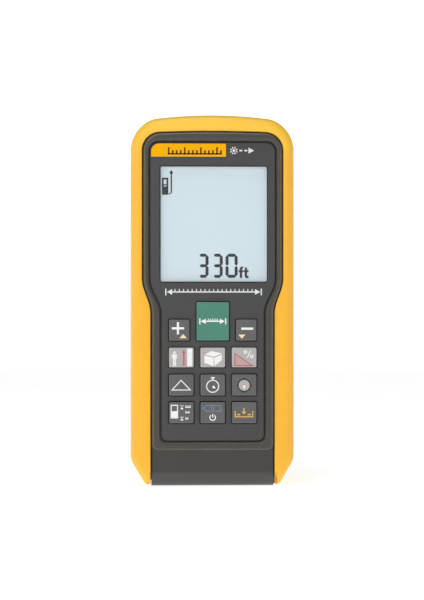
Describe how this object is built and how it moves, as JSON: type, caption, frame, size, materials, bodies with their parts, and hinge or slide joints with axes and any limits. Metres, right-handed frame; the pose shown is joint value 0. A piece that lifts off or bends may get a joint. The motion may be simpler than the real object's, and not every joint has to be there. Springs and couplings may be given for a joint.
{
  "type": "laser distance meter",
  "caption": "Hand-held laser distance meter: dark case in soft yellow grip covers, display window, pressing keys, battery door and fold-out end bracket.",
  "frame": {"origin": "middle of the rear end face, on the surface the meter stands on", "axes": "+Z from the rear end to the lens end, +X to the right across the keypad, +Y out of the back, so the display faces -Y"},
  "size_m": [0.056, 0.033, 0.127],
  "materials": {
    "yellow_elastomer": "soft matt elastomer moulded over the case",
    "charcoal_plastic": "fine-textured glass-filled polyamide",
    "face_plastic": "matt printed polycarbonate overlay",
    "key_rubber": "grey silicone",
    "pale_key_rubber": "pale grey silicone",
    "green_key_rubber": "green silicone",
    "black_rubber": "black silicone or foam",
    "clear_plastic": "clear hard-coated acrylic",
    "display_glass": "lit liquid crystal glass behind a matt polariser",
    "white_plastic": "white light guide",
    "board_green": "solder-masked glass epoxy",
    "chip_black": "black moulding",
    "brass": "machined brass",
    "steel": "plated steel",
    "glass": "coated optical glass",
    "cell_skin": "printed shrink sleeve, plain",
    "label_grey": "blank foil label"
  },
  "bodies": {
    "root": {"front_housing": "charcoal_plastic", "rear_housing": "charcoal_plastic", "housing_seal": "black_rubber", "front_overmould": "yellow_elastomer", "rear_overmould": "yellow_elastomer", "faceplate": "face_plastic", "display_window": "clear_plastic", "lcd_panel": "display_glass", "backlight": "white_plastic", "lcd_connector": "black_rubber", "keymat": "black_rubber", "dome_sheet": "steel", "main_board": "board_green", "processor_chip": "chip_black", "tilt_sensor": "steel", "buzzer": "chip_black", "optics_chassis": "chip_black", "receiver_lens": "glass", "laser_module": "brass", "collimator_lens": "glass", "detector_board": "board_green", "photodiode": "steel", "lens_plate": "black_rubber", "receiver_window": "glass", "laser_window": "glass", "battery_left": "cell_skin", "battery_right": "cell_skin", "battery_spring_left": "steel", "battery_spring_right": "steel", "contact_plate": "steel", "contact_plate_upper": "steel", "battery_door_seal": "black_rubber", "tripod_insert": "brass", "housing_screw_top_left": "steel", "housing_screw_top_right": "steel", "housing_screw_low_left": "steel", "housing_screw_low_right": "steel", "rating_label": "label_grey"},
    "battery_door": {"battery_door": "charcoal_plastic"},
    "bracket_pin": {"bracket_pin": "steel"},
    "key_clear": {"key_clear": "key_rubber"},
    "key_compass": {"key_compass": "key_rubber"},
    "key_height": {"key_height": "pale_key_rubber"},
    "key_measure": {"key_measure": "green_key_rubber"},
    "key_memory": {"key_memory": "key_rubber"},
    "key_minus": {"key_minus": "key_rubber"},
    "key_plus": {"key_plus": "key_rubber"},
    "key_reference": {"key_reference": "key_rubber"},
    "key_slope": {"key_slope": "pale_key_rubber"},
    "key_timer": {"key_timer": "key_rubber"},
    "key_triangle": {"key_triangle": "key_rubber"},
    "key_volume": {"key_volume": "pale_key_rubber"},
    "positioning_bracket": {"positioning_bracket": "charcoal_plastic"}
  },
  "joints": [
    {"name": "key_measure_press", "type": "slide", "parent": "root", "child": "key_measure", "axis": [0, 1, 0], "range_m": [0, 0.0008], "stiffness_N_per_m": 1500},
    {"name": "key_plus_press", "type": "slide", "parent": "root", "child": "key_plus", "axis": [0, 1, 0], "range_m": [0, 0.0008], "stiffness_N_per_m": 1500},
    {"name": "key_minus_press", "type": "slide", "parent": "root", "child": "key_minus", "axis": [0, 1, 0], "range_m": [0, 0.0008], "stiffness_N_per_m": 1500},
    {"name": "key_height_press", "type": "slide", "parent": "root", "child": "key_height", "axis": [0, 1, 0], "range_m": [0, 0.0008], "stiffness_N_per_m": 1500},
    {"name": "key_volume_press", "type": "slide", "parent": "root", "child": "key_volume", "axis": [0, 1, 0], "range_m": [0, 0.0008], "stiffness_N_per_m": 1500},
    {"name": "key_slope_press", "type": "slide", "parent": "root", "child": "key_slope", "axis": [0, 1, 0], "range_m": [0, 0.0008], "stiffness_N_per_m": 1500},
    {"name": "key_triangle_press", "type": "slide", "parent": "root", "child": "key_triangle", "axis": [0, 1, 0], "range_m": [0, 0.0008], "stiffness_N_per_m": 1500},
    {"name": "key_timer_press", "type": "slide", "parent": "root", "child": "key_timer", "axis": [0, 1, 0], "range_m": [0, 0.0008], "stiffness_N_per_m": 1500},
    {"name": "key_compass_press", "type": "slide", "parent": "root", "child": "key_compass", "axis": [0, 1, 0], "range_m": [0, 0.0008], "stiffness_N_per_m": 1500},
    {"name": "key_reference_press", "type": "slide", "parent": "root", "child": "key_reference", "axis": [0, 1, 0], "range_m": [0, 0.0008], "stiffness_N_per_m": 1500},
    {"name": "key_clear_press", "type": "slide", "parent": "root", "child": "key_clear", "axis": [0, 1, 0], "range_m": [0, 0.0008], "stiffness_N_per_m": 1500},
    {"name": "key_memory_press", "type": "slide", "parent": "root", "child": "key_memory", "axis": [0, 1, 0], "range_m": [0, 0.0008], "stiffness_N_per_m": 1500},
    {"name": "bracket_fold", "type": "hinge", "parent": "root", "child": "bracket_pin", "pos_m": [0, 0.0134, 0.0044], "axis": [-1, 0, 0], "range_deg": [0, 180]},
    {"name": "bracket_shift", "type": "slide", "parent": "bracket_pin", "child": "positioning_bracket", "axis": [1, 0, 0], "range_m": [0, 0.0015]},
    {"name": "battery_door_lift", "type": "slide", "parent": "root", "child": "battery_door", "axis": [0, 1, 0], "range_m": [0, 0.02]}
  ]
}
